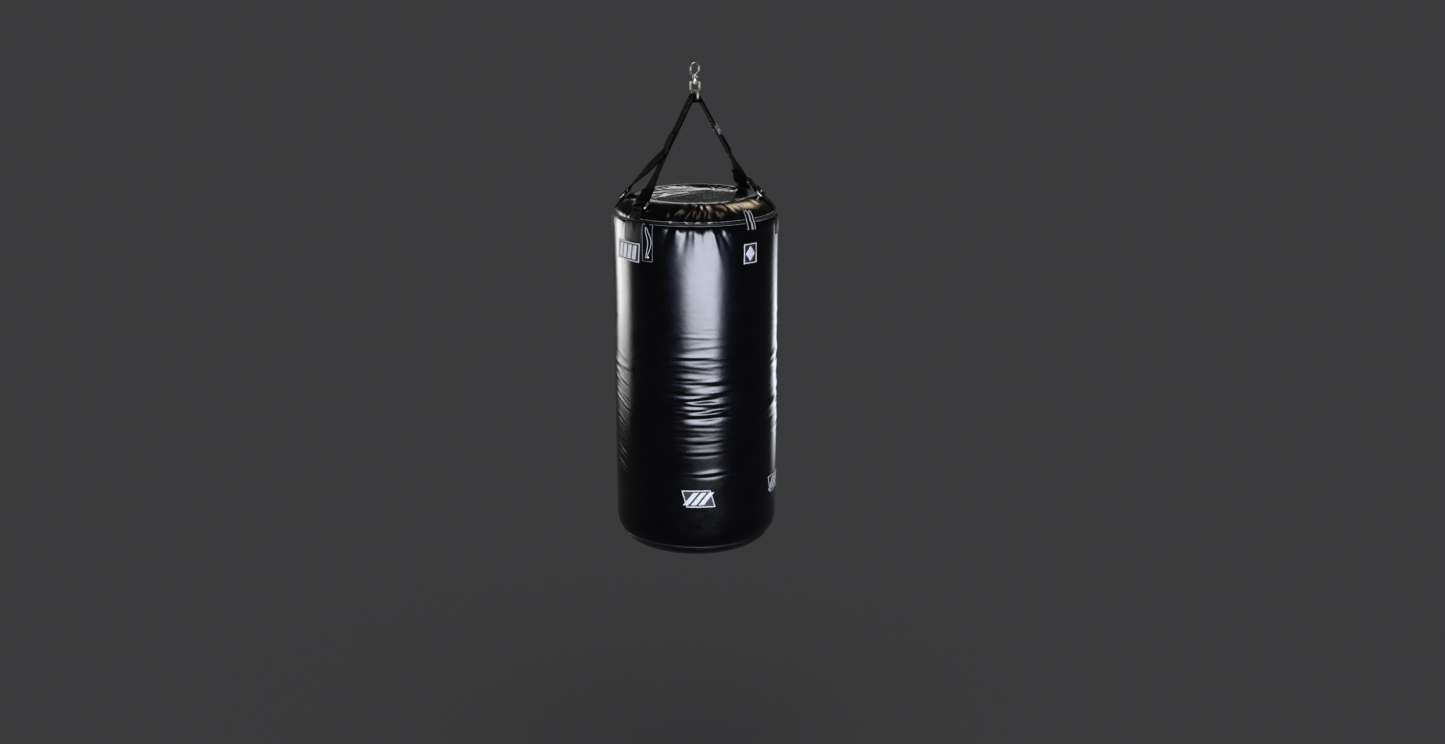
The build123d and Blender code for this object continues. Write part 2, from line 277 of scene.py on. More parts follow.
def broad_relief(bearing, t):
    """Slow bulges where the fill is packed unevenly."""
    a = np.radians(bearing)
    lumps = sum(high * np.sin(count * a + drift * t + start) for high, count, drift, start in BULGES)
    return lumps * BULGE * smooth(t, 0, BULGE_START)


def relief(bearing, t):
    """The height of the covers over the plain outline."""
    below_seam = np.maximum(t, 0)
    above_seam = np.maximum(-t, 0)
    from_foot = np.abs(t - T_FOOT_SEAM)
    lift = FULLNESS - SEAM_PINCH * bell(t / SEAM_PINCH_REACH)
    lift = lift - FOOT_PINCH * bell(from_foot / FOOT_PINCH_REACH) + broad_relief(bearing, below_seam)
    lift = lift + np.where(t > 0, gather_relief(bearing, below_seam, SHELL_GATHERS), 0)
    lift = lift + np.where(t < 0, gather_relief(bearing, above_seam, SHOULDER_GATHERS), 0)
    lift = lift + gather_relief(bearing, from_foot, FOOT_GATHERS)
    return lift + crease_relief(bearing, t)


def directions(bearing, tilt):
    """The outward unit vectors at a bearing, tilted up."""
    a = np.radians(bearing)
    flat = np.cos(tilt)
    return np.stack(np.broadcast_arrays(flat * np.sin(a), -flat * np.cos(a), np.sin(tilt)), -1)


def surface(bearing, t, lift=0.0, wrinkled=True):
    """Points on the bag's covers, and the outward normals there."""
    bearing, t = np.broadcast_arrays(np.asarray(bearing, float), np.asarray(t, float))
    radius, height, tilt = profile(t)
    normal = directions(bearing, tilt)
    a = np.radians(bearing)
    base = np.stack([radius * np.sin(a), -radius * np.cos(a), height], -1)
    rise = lift + (relief(bearing, t) if wrinkled else 0.0)
    return base + normal * np.asarray(rise)[..., None], normal


def along_route(bearing, t, route, lift):
    """Points and normals on the covers along a route given in metres right and down of a place."""
    return surface(bearing + np.degrees(route[:, 0] / WAIST), t + route[:, 1], lift)


# ---- mesh helpers ----
INNER_ROWS = 10  # of the smooth inner face of a cover
NEARLY_UPRIGHT = 0.9
SHORTEST_STITCH = 0.001 * MM


def add_object(name, data):
    """A new object in the scene."""
    made = bpy.data.objects.new(name, data)
    bpy.context.scene.collection.objects.link(made)
    return made


def grid_faces(rows, columns, wrap_rows=False, wrap_columns=False):
    """The quads of a grid of points, numbered row by row."""
    r = np.arange(rows if wrap_rows else rows - 1)[:, None]
    c = np.arange(columns if wrap_columns else columns - 1)[None, :]
    r1, c1 = (r + 1) % rows, (c + 1) % columns
    corners = [r * columns + c, r * columns + c1, r1 * columns + c1, r1 * columns + c]
    return np.stack([np.broadcast_to(x, (r.shape[0], c.shape[1])) for x in corners], -1).reshape(-1, 4)


def add_mesh(name, points, faces, material, uvs=None):
    """A smooth mesh object that rides on the bag."""
    mesh = bpy.data.meshes.new(name)
    mesh.from_pydata(np.asarray(points).reshape(-1, 3).tolist(), [], [list(f) for f in faces])
    if uvs is not None:
        layer = mesh.uv_layers.new(name="metres")
        loops = np.zeros(len(mesh.loops), np.int32)
        mesh.loops.foreach_get("vertex_index", loops)
        layer.data.foreach_set("uv", np.asarray(uvs, np.float32)[loops].ravel())
    mesh.materials.append(material)
    mesh.shade_smooth()
    mesh.update()
    piece = add_object(name, mesh)
    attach(piece, "bag")
    return piece


def make_consistent(piece):
    """Turns the faces of a closed piece outwards."""
    shape = bmesh.new()
    shape.from_mesh(piece.data)
    bmesh.ops.recalc_face_normals(shape, faces=shape.faces)
    shape.to_mesh(piece.data)
    shape.free()
    return piece


def skin_round(name, outer_t, columns, material):
    """A closed cover that goes right round the bag between two seams."""
    bearings = np.linspace(0, 360, columns, endpoint=False)[None, :]
    inner_t = np.linspace(outer_t[-1], outer_t[0], INNER_ROWS)
    outside, _ = surface(bearings, outer_t[:, None])
    inside, _ = surface(bearings, inner_t[:, None], -VINYL, wrinkled=False)
    points = np.concatenate([outside, inside])
    faces = grid_faces(len(outer_t) + len(inner_t), columns, True, True)
    return make_consistent(add_mesh(name, points, faces, material))


def disc_grid(count):
    """A square grid bent into a disc: each point's share of the radius, and its bearing."""
    u, v = np.meshgrid(np.linspace(-1, 1, count), np.linspace(-1, 1, count))
    x, y = u * np.sqrt(1 - v * v / 2), v * np.sqrt(1 - u * u / 2)
    return np.hypot(x, y), np.degrees(np.arctan2(x, -y))


def closed_sheet(name, upper, lower, material, uvs=None):
    """Two grids of points joined along their edges into one closed sheet."""
    rows, columns = upper.shape[:2]
    faces = grid_faces(rows, columns)
    count = rows * columns
    index = np.arange(count).reshape(rows, columns)
    rim = np.concatenate([index[0, :], index[1:, -1], index[-1, -2::-1], index[-2:0:-1, 0]])
    after = np.roll(rim, -1)
    side = np.stack([rim, after, after + count, rim + count], -1)
    points = np.concatenate([upper.reshape(-1, 3), lower.reshape(-1, 3)])
    doubled = None if uvs is None else np.concatenate([uvs.reshape(-1, 2)] * 2)
    every_face = np.concatenate([faces, faces[:, ::-1] + count, side])
    return make_consistent(add_mesh(name, points, every_face, material, uvs=doubled))


def unit(v):
    """Vectors scaled to length 1."""
    return v / np.linalg.norm(v, axis=-1, keepdims=True)


def run_lengths(points):
    """How far along a polyline each of its points is."""
    return np.concatenate([[0], np.cumsum(np.linalg.norm(np.diff(points, axis=0), axis=1))])


def along_line(points, pitch):
    """Points at an even pitch along a polyline."""
    lengths = run_lengths(points)
    count = max(int(round(lengths[-1] / pitch)), 1)
    at = np.linspace(0, lengths[-1], count + 1)
    return np.stack([np.interp(at, lengths, points[:, k]) for k in range(3)], -1)


def cap_faces(first, last, sides):
    """The end faces of a tube, from the first points of its first and last rings."""
    return [list(range(first, first + sides))[::-1], list(range(last, last + sides))]


def thread_runs(name, runs, radius, material, pitch=3.2 * MM, filled=0.74):
    """Rows of stitches: each stitch is a short round-ended piece of thread along its run."""
    sides = 6
    ring_at = np.array([-1.0, -0.9, -0.6, 0.6, 0.9, 1.0])[:, None, None]
    ring_radius = np.array([0.15, 0.7, 1.0, 1.0, 0.7, 0.15])[:, None, None] * radius
    a = np.arange(sides) * 2 * pi / sides
    count = len(ring_at) * sides
    one = grid_faces(len(ring_at), sides, False, True)
    points, faces = [], []
    for line, up in runs:
        knots = along_line(line, pitch)
        nearest = (np.arange(len(knots)) * (len(line) - 1) / (len(knots) - 1)).astype(int)
        for start, end, lift in zip(knots[:-1], knots[1:], up[nearest]):
            half = (end - start) / 2 * filled
            if np.linalg.norm(half) < SHORTEST_STITCH:
                continue
            side = unit(np.cross(half, lift))
            over = unit(np.cross(side, half))
            ring = np.cos(a)[:, None] * side + np.sin(a)[:, None] * over
            faces += [list(f) for f in one + len(points) * count]
            points.append(((start + end) / 2 + ring_at * half + ring_radius * ring).reshape(-1, 3))
    for first in range(0, len(points) * count, count):
        faces += cap_faces(first, first + count - sides, sides)
    return add_mesh(name, np.concatenate(points), faces, material)


def tube(name, line, radius, material, closed=False, sides=10, radii=None):
    """A round cord of trim along a line of points."""
    ahead = np.roll(line, -1, 0) - np.roll(line, 1, 0)
    if not closed:
        ahead[0], ahead[-1] = line[1] - line[0], line[-1] - line[-2]
    ahead = unit(ahead)
    side = np.zeros_like(line)
    first = np.array([0, 0, 1.0]) if abs(ahead[0][2]) < NEARLY_UPRIGHT else np.array([1.0, 0, 0])
    for i, direction in enumerate(ahead):
        last = side[i - 1] if i else first
        side[i] = unit(last - direction * (last @ direction))
    over = np.cross(ahead, side)
    a = np.arange(sides) * 2 * pi / sides
    size = (np.full(len(line), radius) if radii is None else radii)[:, None, None]
    ring = np.cos(a)[None, :, None] * side[:, None] + np.sin(a)[None, :, None] * over[:, None]
    faces = [list(f) for f in grid_faces(len(line), sides, closed, True)]
    if not closed:
        faces += cap_faces(0, (len(line) - 1) * sides, sides)
    return make_consistent(add_mesh(name, line[:, None] + size * ring, faces, material))


# ---- materials ----
class Nodes:
    """A small helper that adds and links shader nodes."""

    def __init__(self, owner, shader):
        owner.use_nodes = True
        self.owner = owner
        self.tree = owner.node_tree
        self.shader = self.tree.nodes[shader]

    def add(self, kind, inputs=None, **settings):
        """Adds a node. An input's value is a number, a colour or another node's output."""
        node = self.tree.nodes.new(kind)
        for key, value in settings.items():
            setattr(node, key, value)
        for key, value in (inputs or {}).items():
            self.put(node.inputs[key], value)
        return node

    def put(self, socket, value):
        """Sets a socket, or links an output to it."""
        if isinstance(value, bpy.types.NodeSocket):
            self.tree.links.new(value, socket)
        else:
            socket.default_value = value

    def coordinates(self, kind="Object"):
        return self.add("ShaderNodeTexCoord").outputs[kind]

    def noise(self, vector, scale, detail=3.0, roughness=0.55):
        inputs = {"Vector": vector, "Scale": scale, "Detail": detail, "Roughness": roughness}
        return self.add("ShaderNodeTexNoise", inputs).outputs["Fac"]

    def spread(self, value, low, high, to_low=0.0, to_high=1.0):
        """Maps a range of a value onto another range."""
        inputs = {"Value": value, "From Min": low, "From Max": high, "To Min": to_low, "To Max": to_high}
        return self.add("ShaderNodeMapRange", inputs).outputs["Result"]

    def math(self, operation, a, b=0.0):
        node = self.add("ShaderNodeMath", operation=operation)
        self.put(node.inputs[0], a)
        self.put(node.inputs[1], b)
        return node.outputs[0]

    def blend(self, factor, a, b):
        """Mixes two colours."""
        node = self.add("ShaderNodeMix", data_type="RGBA")
        for key, value in ((0, factor), (6, a), (7, b)):
            self.put(node.inputs[key], value)
        return node.outputs[2]

    def bump(self, height, distance, strength=1.0, under=None):
        inputs = {"Height": height, "Distance": distance, "Strength": strength}
        if under is not None:
            inputs["Normal"] = under
        return self.add("ShaderNodeBump", inputs).outputs["Normal"]

    def finish(self, **sockets):
        """Sets the shader's sockets by name, with _ for a space, and gives back the material."""
        for key, value in sockets.items():
            self.put(self.shader.inputs[key.replace("_", " ")], value)
        return self.owner


def new_material(name):
    return Nodes(bpy.data.materials.new(name), "Principled BSDF")


def rgb(r, g, b):
    return (r, g, b, 1.0)


def grey(tone):
    return rgb(tone, tone, tone)


def vinyl_material(name, dark, light, gloss, grain, creasing=0.35, shine=0.5):
    """Glossy synthetic leather: fine cells, soft creasing, smudged gloss and a slight change of tone."""
    n = new_material(name)
    where = n.coordinates()
    cells = n.add("ShaderNodeTexVoronoi", {"Vector": where, "Scale": 620.0}).outputs["Distance"]
    pores = n.noise(where, 1500.0, 2.0)
    handling = n.noise(where, 14.0, 4.0, 0.6)
    rub = n.noise(where, 60.0, 5.0, 0.65)
    colour = n.blend(n.spread(handling, 0.3, 0.7), dark, light)
    smudges = n.spread(handling, 0.3, 0.7, gloss, gloss + 0.06)
    roughness = n.math("ADD", smudges, n.spread(rub, 0.35, 0.75, 0.0, 0.05))
    fine = n.bump(n.math("ADD", cells, pores), 0.00012, grain)
    soft = n.bump(rub, 0.0008, creasing, fine)
    return n.finish(Base_Color=colour, Roughness=roughness, Normal=soft, IOR=1.52, Specular_IOR_Level=shine)


HERRINGBONE = 4.4 * MM
RIB_PITCH = 2.1 * MM
YARN_PITCH = 1.6 * MM


def webbing_material(name, yarn, edge):
    """Woven nylon: ribs across the band, a herringbone of yarns, and a paler second tone laid in by the
    weave and soiling.
    """
    n = new_material(name)
    split = n.add("ShaderNodeSeparateXYZ", {"Vector": n.coordinates("UV")})
    u, v = split.outputs["X"], split.outputs["Y"]
    along = n.math("ADD", v, n.math("PINGPONG", u, HERRINGBONE))
    ribs = n.math("SINE", n.math("MULTIPLY", along, 2 * pi / RIB_PITCH))
    yarns = n.math("SINE", n.math("MULTIPLY", u, 2 * pi / YARN_PITCH))
    weave = n.math("MULTIPLY", ribs, yarns)
    fibre = n.noise(n.coordinates(), 900.0, 3.0)
    soil = n.noise(n.coordinates(), 45.0, 4.0)
    tone = n.math("ADD", n.spread(weave, -1.0, 1.0, 0.0, 0.5), n.spread(soil, 0.3, 0.7, 0.0, 0.35))
    height = n.math("ADD", n.spread(weave, -1.0, 1.0), n.math("MULTIPLY", fibre, 0.5))
    return n.finish(
        Base_Color=n.blend(tone, yarn, edge), Roughness=n.spread(fibre, 0.3, 0.7, 0.55, 0.8),
        Normal=n.bump(height, 0.0003, 0.9), Specular_IOR_Level=0.045,
    )


def metal_material(name, base, worn, gloss):
    """Plated steel: fine polishing lines, small pits and duller patches."""
    n = new_material(name)
    where = n.coordinates()
    stretched = n.add("ShaderNodeMapping", {"Vector": where, "Scale": (1.0, 1.0, 7.0)}).outputs["Vector"]
    lines = n.noise(stretched, 420.0, 3.0)
    patches = n.noise(where, 90.0, 4.0)
    pits = n.add("ShaderNodeTexVoronoi", {"Vector": where, "Scale": 700.0}).outputs["Distance"]
    colour = n.blend(n.spread(patches, 0.4, 0.7), base, worn)
    dulled = n.spread(patches, 0.3, 0.7, gloss, gloss + 0.14)
    roughness = n.math("ADD", dulled, n.spread(lines, 0.3, 0.7, 0.0, 0.06))
    relief_bump = n.bump(n.math("ADD", lines, n.math("MULTIPLY", pits, 0.4)), 0.00006, 0.6)
    return n.finish(Base_Color=colour, Metallic=1.0, Roughness=roughness, Normal=relief_bump)


def print_material(name, base, worn):
    """White printed vinyl, cracked and rubbed a little."""
    n = new_material(name)
    where = n.coordinates()
    wear = n.noise(where, 170.0, 6.0, 0.7)
    cells = n.add("ShaderNodeTexVoronoi", {"Vector": where, "Scale": 210.0}, feature="DISTANCE_TO_EDGE")
    cracks = cells.outputs["Distance"]
    rubbed = n.spread(wear, 0.52, 0.70, 0.0, 0.8)
    scuffed = n.math("MULTIPLY", rubbed, n.spread(cracks, 0.0, 0.12, 1.0, 0.35))
    return n.finish(
        Base_Color=n.blend(scuffed, base, worn), Roughness=n.spread(wear, 0.3, 0.7, 0.35, 0.6),
        Normal=n.bump(n.math("ADD", wear, cracks), 0.0002, 0.5),
    )


def thread_material(name, base, shade):
    """Twisted polyester thread."""
    n = new_material(name)
    where = n.coordinates()
    twist = n.add("ShaderNodeTexWave", {"Vector": where, "Scale": 900.0, "Distortion": 2.0}).outputs["Fac"]
    dirt = n.noise(where, 55.0, 3.0)
    tone = n.math("ADD", n.math("MULTIPLY", twist, 0.5), n.spread(dirt, 0.35, 0.7, 0.0, 0.5))
    return n.finish(Base_Color=n.blend(tone, base, shade), Roughness=n.spread(dirt, 0.3, 0.7, 0.4, 0.6),
                    Normal=n.bump(twist, 0.0002, 0.8))


def cloth_material(name, base, shade, scale):
    """Plain cloth, foam or loose fill, for what lies inside the covers."""
    n = new_material(name)
    where = n.coordinates()
    weave = n.noise(where, scale, 4.0)
    blotches = n.noise(where, 25.0, 3.0)
    roughness = n.spread(weave, 0.3, 0.7, 0.8, 0.95)
    return n.finish(Base_Color=n.blend(blotches, base, shade), Roughness=roughness,
                    Normal=n.bump(weave, 0.0006, 0.8))


VINYL_BODY = vinyl_material(
    "body_vinyl", rgb(0.0003, 0.0003, 0.0006), rgb(0.0007, 0.0008, 0.0013), 0.12, 0.2
)
VINYL_SHOULDER = vinyl_material(
    "shoulder_vinyl", rgb(0.0008, 0.0007, 0.0006), rgb(0.002, 0.0017, 0.0014), 0.15, 0.22
)
VINYL_PANEL = vinyl_material(
    "panel_vinyl", rgb(0.0006, 0.0006, 0.0007), rgb(0.0015, 0.0015, 0.0017), 0.11, 0.08, creasing=0.1
)
VINYL_PATCH = vinyl_material("patch_vinyl", grey(0.002), grey(0.005), 0.38, 0.5, shine=0.25)
PIPING = vinyl_material("welt_vinyl", rgb(0.001, 0.001, 0.0012), rgb(0.003, 0.003, 0.0035), 0.45, 0.4)
WEBBING = webbing_material("webbing", rgb(0.0004, 0.0004, 0.0006), rgb(0.0013, 0.0014, 0.0018))
WEBBING_TRIM = webbing_material("webbing_trim", rgb(0.0005, 0.0005, 0.0007), rgb(0.0015, 0.0015, 0.0019))
NICKEL = metal_material("nickel", rgb(0.78, 0.76, 0.71), rgb(0.55, 0.53, 0.49), 0.24)
RING_STEEL = metal_material("ring_steel", grey(0.70), grey(0.42), 0.2)
BLACK_STEEL = metal_material("black_steel", rgb(0.03, 0.03, 0.032), grey(0.12), 0.2)
SPRING_STEEL = metal_material("spring_steel", rgb(0.35, 0.35, 0.37), rgb(0.2, 0.2, 0.21), 0.3)
MARK_WHITE = print_material("mark_white", rgb(0.50, 0.50, 0.51), grey(0.08))
MARK_DARK = print_material("mark_dark", rgb(0.006, 0.006, 0.007), grey(0.08))
THREAD_LIGHT = thread_material("thread_light", rgb(0.55, 0.55, 0.57), rgb(0.3, 0.3, 0.31))
THREAD_DARK = thread_material("thread_dark", rgb(0.014, 0.014, 0.016), rgb(0.007, 0.007, 0.008))
FOAM = cloth_material("foam", rgb(0.12, 0.12, 0.13), rgb(0.09, 0.09, 0.1), 1200.0)
CANVAS = cloth_material("canvas", rgb(0.5, 0.48, 0.42), rgb(0.4, 0.38, 0.33), 1600.0)
FILL = cloth_material("fill", rgb(0.35, 0.33, 0.33), rgb(0.2, 0.2, 0.24), 300.0)
FLOOR = cloth_material("floor", rgb(0.62, 0.62, 0.64), rgb(0.58, 0.58, 0.60), 40.0)

ENDS = ("left_front", "left_rear", "right_front", "right_rear")
HOOK_NODES = (
    "hook_body", "hook_gate", "gate_pin", "gate_spring", "swivel_bow", "swivel_washer", "strap_ring",
)
CAD_LOOKS = {
    "slide_buckle": BLACK_STEEL, "crown_core": WEBBING_TRIM,
    "foam_liner": FOAM, "inner_bag": CANVAS, "textile_fill": FILL,
}
CAD_LOOKS.update({node: NICKEL for node in HOOK_NODES})
CAD_LOOKS.update({f"anchor_ring_{end}": RING_STEEL for end in ENDS})
CAD_LOOKS["gate_spring"] = SPRING_STEEL
for node, look in CAD_LOOKS.items():
    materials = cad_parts[node].data.materials
    materials.clear()
    materials.append(look)


# ---- covers ----
# Rows and columns of points: enough for the narrowest creases and pleats.
SHELL_GRID = (262, 368)
SHOULDER_GRID = (70, 480)
BOTTOM_GRID = 150
TOP_GRID = 170
PIPING_POINTS = 420
PIPING_R = 1.5 * MM


def make_covers():
    """Shell, shoulder and bottom panels, and the piping at the top and foot seams."""
    rows = np.linspace(HALF_SLOT, T_FOOT_SEAM - HALF_SLOT, SHELL_GRID[0])
    shell = skin_round("shell_body_cover", rows, SHELL_GRID[1], VINYL_BODY)
    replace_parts(shell, "shell_body")

    rows = np.linspace(T_CREST - LIP, -HALF_SLOT, SHOULDER_GRID[0])
    shoulder = skin_round("shoulder_band_cover", rows, SHOULDER_GRID[1], VINYL_SHOULDER)
    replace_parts(shoulder, "shoulder_band")

    reach, bearing = disc_grid(BOTTOM_GRID)
    t = T_CENTRE - reach * (T_CENTRE - T_FOOT_SEAM - HALF_SLOT)
    outside, _ = surface(bearing, t)
    inside, _ = surface(bearing, t, -VINYL, wrinkled=False)
    bottom = closed_sheet("bottom_panel_cover", outside, inside, VINYL_PANEL)
    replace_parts(bottom, "bottom_panel")

    for name, t, node in (("top_piping", 0.0, "top_welt"), ("foot_piping", T_FOOT_SEAM, "foot_welt")):
        line, _ = surface(np.linspace(0, 360, PIPING_POINTS, endpoint=False), t, -0.2 * MM)
        piping = tube(name, line, PIPING_R, PIPING, closed=True)
        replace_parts(piping, node)


# The folds across the sunken top panel: a point (mm), direction (degrees), length, height and width (mm).
TOP_FOLDS = [
    (-60, 62, 20, 150, 1.5, 9),
    (-35, 96, 12, 120, 1.3, 8),
    (-92, 30, 42, 90, 1.5, 9),
    (-25, 42, 24, 160, 0.9, 8),
    (-108, -12, 72, 70, 1.3, 9),
    (35, -15, 22, 160, 0.35, 14),
    (30, -70, 10, 140, 0.4, 12),
    (95, 5, 80, 90, 0.5, 10),
]
VALLEY_TURN = 34  # the direction of the valley that divides the top panel, from +X towards +Y
VALLEY_OFFSET = 52 * MM  # how far behind the middle it passes
VALLEY_SOFTNESS = 10 * MM
NEAR_RISE = 0.15  # how much of the dish's depth is gained from the valley to the near rim
RIM_SHARPNESS = 8
RIM_DROP = 0.6 * MM  # from the shoulder's crest
RIM_SHARE = 0.8  # of the shoulder's pleats that the panel's rim shows
RIM_STRETCH = 3  # how much shorter the pleats are there
FOLD_RADIUS = 300  # of a fold's bend, in mm


def top_panel_height(x, y):
    """The height of the sunken top panel: a dish with a valley across it, and folds."""
    reach = np.hypot(x, y) / PANEL_R
    turn = radians(VALLEY_TURN)
    behind = y * cos(turn) - x * sin(turn) - VALLEY_OFFSET
    room = np.where(behind > 0, PANEL_R - VALLEY_OFFSET, PANEL_R + VALLEY_OFFSET)
    rise = np.where(behind > 0, 1.0, NEAR_RISE)
    away = np.sqrt(behind**2 + VALLEY_SOFTNESS**2) - VALLEY_SOFTNESS
    depth = 1 - rise * np.clip(away / room, 0, 1)
    dish = -DISH_DEPTH * (1 - reach**RIM_SHARPNESS) * depth
    folds = 0
    for fold_x, fold_y, direction, length, height, width in TOP_FOLDS:
        a = radians(direction)
        dx, dy = x / MM - fold_x, y / MM - fold_y
        along, across = dx * cos(a) + dy * sin(a), dy * cos(a) - dx * sin(a)
        bent = across + along**2 / (2 * FOLD_RADIUS)
        folds = folds + height * MM * bell(along / (length / 2)) * bell(bent / width)
    bearing = np.degrees(np.arctan2(x, -y))
    rim = gather_relief(bearing, (1 - reach) * PANEL_R * RIM_STRETCH, SHOULDER_GATHERS)
    edge = smooth(reach, 1.0, 0.86)
    return TOP - RIM_DROP + dish + folds * edge + rim * RIM_SHARE


def make_top_panel():
    """The wrinkled panel sunk inside the shoulder."""
    reach, bearing = disc_grid(TOP_GRID)
    a = np.radians(bearing)
    x, y = PANEL_R * reach * np.sin(a), -PANEL_R * reach * np.cos(a)
    height = top_panel_height(x, y)
    upper = np.stack([x, y, height], -1)
    lower = np.stack([x, y, np.minimum(TOP - PANEL_SINK - VINYL, height - VINYL / 2)], -1)
    panel = closed_sheet("top_panel_cover", upper, lower, VINYL_PANEL)
    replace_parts(panel, "top_panel")


def make_seam_stitches():
    """Light thread each side of the top seam, and dark thread each side of the foot seam."""
    bearings = np.linspace(0, 360, 721)
    thread_lift = 0.35 * MM
    runs = [surface(bearings, t, thread_lift) for t in (-5.2 * MM, 4.8 * MM)]
    thread_runs("seam_stitches", runs, 0.42 * MM, THREAD_LIGHT, pitch=4.6 * MM)
    foot_row = 5.5 * MM
    runs = [surface(bearings, T_FOOT_SEAM + offset, thread_lift) for offset in (-foot_row, foot_row)]
    thread_runs("foot_stitches", runs, 0.5 * MM, THREAD_DARK, pitch=4.6 * MM)


# ---- patches on the bag ----
def patch_points(bearing, t, corners, rows, columns):
    """Bearings and distances of a grid over four corners, given in metres right and down of a place."""
    v, u = np.meshgrid(np.linspace(0, 1, rows), np.linspace(0, 1, columns), indexing="ij")
    top_left, top_right, low_right, low_left = (np.array(c) for c in corners)
    u, v = u[..., None], v[..., None]
    place = (top_left * (1 - u) + top_right * u) * (1 - v) + (low_left * (1 - u) + low_right * u) * v
    return bearing + np.degrees(place[..., 0] / WAIST), t + place[..., 1]


def rect(width, height):
    """The corners of an upright rectangle, clockwise from the top left."""
    x, y = width / 2, height / 2
    return [(-x, -y), (x, -y), (x, y), (-x, y)]


PATCH_PITCH = 1.6 * MM  # of the grid of points on a patch
PATCH_POINTS = (6, 60)  # the fewest and the most points along a side of it
ROLLED = 1.2 * MM  # how far in from its edge a patch is rolled down
ROLLED_TO = 0.35  # of its thickness


def sew_patch(name, bearing, t, corners, lift, thickness, material, slot, puff=0.0):
    """A flat piece laid over the bag's wrinkles, with its edges rolled down."""
    width = max(abs(corners[1][0] - corners[0][0]), abs(corners[2][0] - corners[3][0]))
    height = max(abs(corners[3][1] - corners[0][1]), abs(corners[2][1] - corners[1][1]))
    rows, columns = (int(np.clip(size / PATCH_PITCH, *PATCH_POINTS)) for size in (height, width))
    where, level = patch_points(bearing, t, corners, rows, columns)
    v, u = np.meshgrid(np.linspace(0, 1, rows), np.linspace(0, 1, columns), indexing="ij")
    edge = np.minimum(np.minimum(u, 1 - u) * width, np.minimum(v, 1 - v) * height)
    roll = ROLLED_TO + (1 - ROLLED_TO) * smooth(edge, -0.1 * MM, ROLLED)
    crown = puff * np.sin(pi * u) * np.sin(pi * v)
    upper, _ = surface(where, level, lift + thickness * roll + crown)
    lower, _ = surface(where, level, lift)
    return closed_sheet(name, upper, lower, material, np.stack([u * width, v * height], -1))


RUN_POINTS = 24  # on each straight line of stitches


def border_run(bearing, t, corners, inset, lift):
    """The closed run of points a little inside a patch's corners, with the normals there."""
    corners = np.array(corners)
    middle = corners.mean(0)
    reach = np.abs(corners - middle)
    inner = middle + (corners - middle) * (1 - inset / np.maximum(reach, inset * 2))
    loop = np.concatenate([inner, inner[:1]])
    sides = [np.linspace(a, b, RUN_POINTS)[:-1] for a, b in zip(loop[:-1], loop[1:])]
    return along_route(bearing, t, np.concatenate(sides + [loop[-1:]]), lift)


def line_run(bearing, t, start, end, lift):
    """A straight run of points over the bag between two places, in metres right and down of a point."""
    return along_route(bearing, t, np.linspace(start, end, RUN_POINTS), lift)


def slanted(width, height, shear):
    """The corners of a rectangle whose top is moved to the left of its foot."""
    corners = rect(width, height)
    return [(x + shear * y / height, y) for x, y in corners]


MARK_LIFT = 0.5 * MM
MARK_FRAME = 3.2 * MM


def make_mark(node, bearing, level, width, height, shear, shapes):
    """A sewn mark: a dark ground, a white frame and white shapes, as shares of its width and height."""
    t = down(level)
    outline = slanted(width, height, shear)
    ground = sew_patch(f"{node}_ground", bearing, t, outline, MARK_LIFT, 0.8 * MM, MARK_DARK, "mark")
    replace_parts(ground, node)
    raised = MARK_LIFT + 0.75 * MM
    (left, high), (right, _), _, (low_left, low) = outline
    slip = shear / height * MARK_FRAME
    top = [(left, high), (right, high), (right + slip, high + MARK_FRAME), (left + slip, high + MARK_FRAME)]
    side = [(left, high), (left + MARK_FRAME, high), (low_left + MARK_FRAME, low), (low_left, low)]
    foot, other = ([(-x, -y) for x, y in corners] for corners in (top, side))
    for label, corners in (("top", top), ("foot", foot), ("left", side), ("right", other)):
        sew_patch(f"{node}_frame_{label}", bearing, t, corners, raised, 0.5 * MM, MARK_WHITE, "mark")
    for i, quad in enumerate(shapes):
        corners = [((x - y * shear / height) * width, y * height) for x, y in quad]
        sew_patch(f"{node}_shape_{i}", bearing, t, corners, raised, 0.6 * MM, MARK_WHITE, "mark")


def stripes(count, share, lean):
    """Parallel slanted stripes across a mark, as shares of its width and height."""
    band, high = 0.8, 0.37
    step = band / count
    half = step * share / 2
    middles = [-band / 2 + step * (i + 0.5) for i in range(count)]
    corners = ((-1, -1), (1, -1), (1, 1), (-1, 1))
    return [[(x + right * half - below * lean, below * high) for right, below in corners] for x in middles]


def make_marks():
    """The four white marks: three with plain stripes and one with a diamond."""
    upper, lower = -0.4825, -1.155
    diamond = [[(0, -0.40), (0.36, 0), (0, 0.40), (-0.36, 0)]]
    make_mark("mark_upper_left", -70.5, upper, 96 * MM, 52 * MM, -4 * MM, stripes(4, 0.70, 0.06))
    make_mark("mark_upper_right", 23, upper, 44 * MM, 54 * MM, 0, diamond)
    for node, bearing in (("mark_lower_front", -15.5), ("mark_lower_right", 57)):
        make_mark(node, bearing, lower, 80 * MM, 49 * MM, 14 * MM, stripes(3, 0.72, 0.08))


def make_anchor_patches():
    """The vinyl patches below the anchors, with a stitched border."""
    runs = []
    corners = rect(70 * MM, 54 * MM)
    t = down(-0.4265)
    for end, bearing in zip(ENDS, (-65, -115, 65, 115)):
        patch = sew_patch(f"anchor_patch_{end}_cover", bearing, t, corners, 0.2 * MM, 1.1 * MM, VINYL_PATCH,
                          "panel_vinyl", puff=0.8 * MM)
        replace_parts(patch, f"anchor_patch_{end}")
        runs.append(border_run(bearing, t, corners, 3 * MM, 1.7 * MM))
    thread_runs("anchor_patch_stitches", runs, 0.4 * MM, THREAD_DARK, pitch=4 * MM)


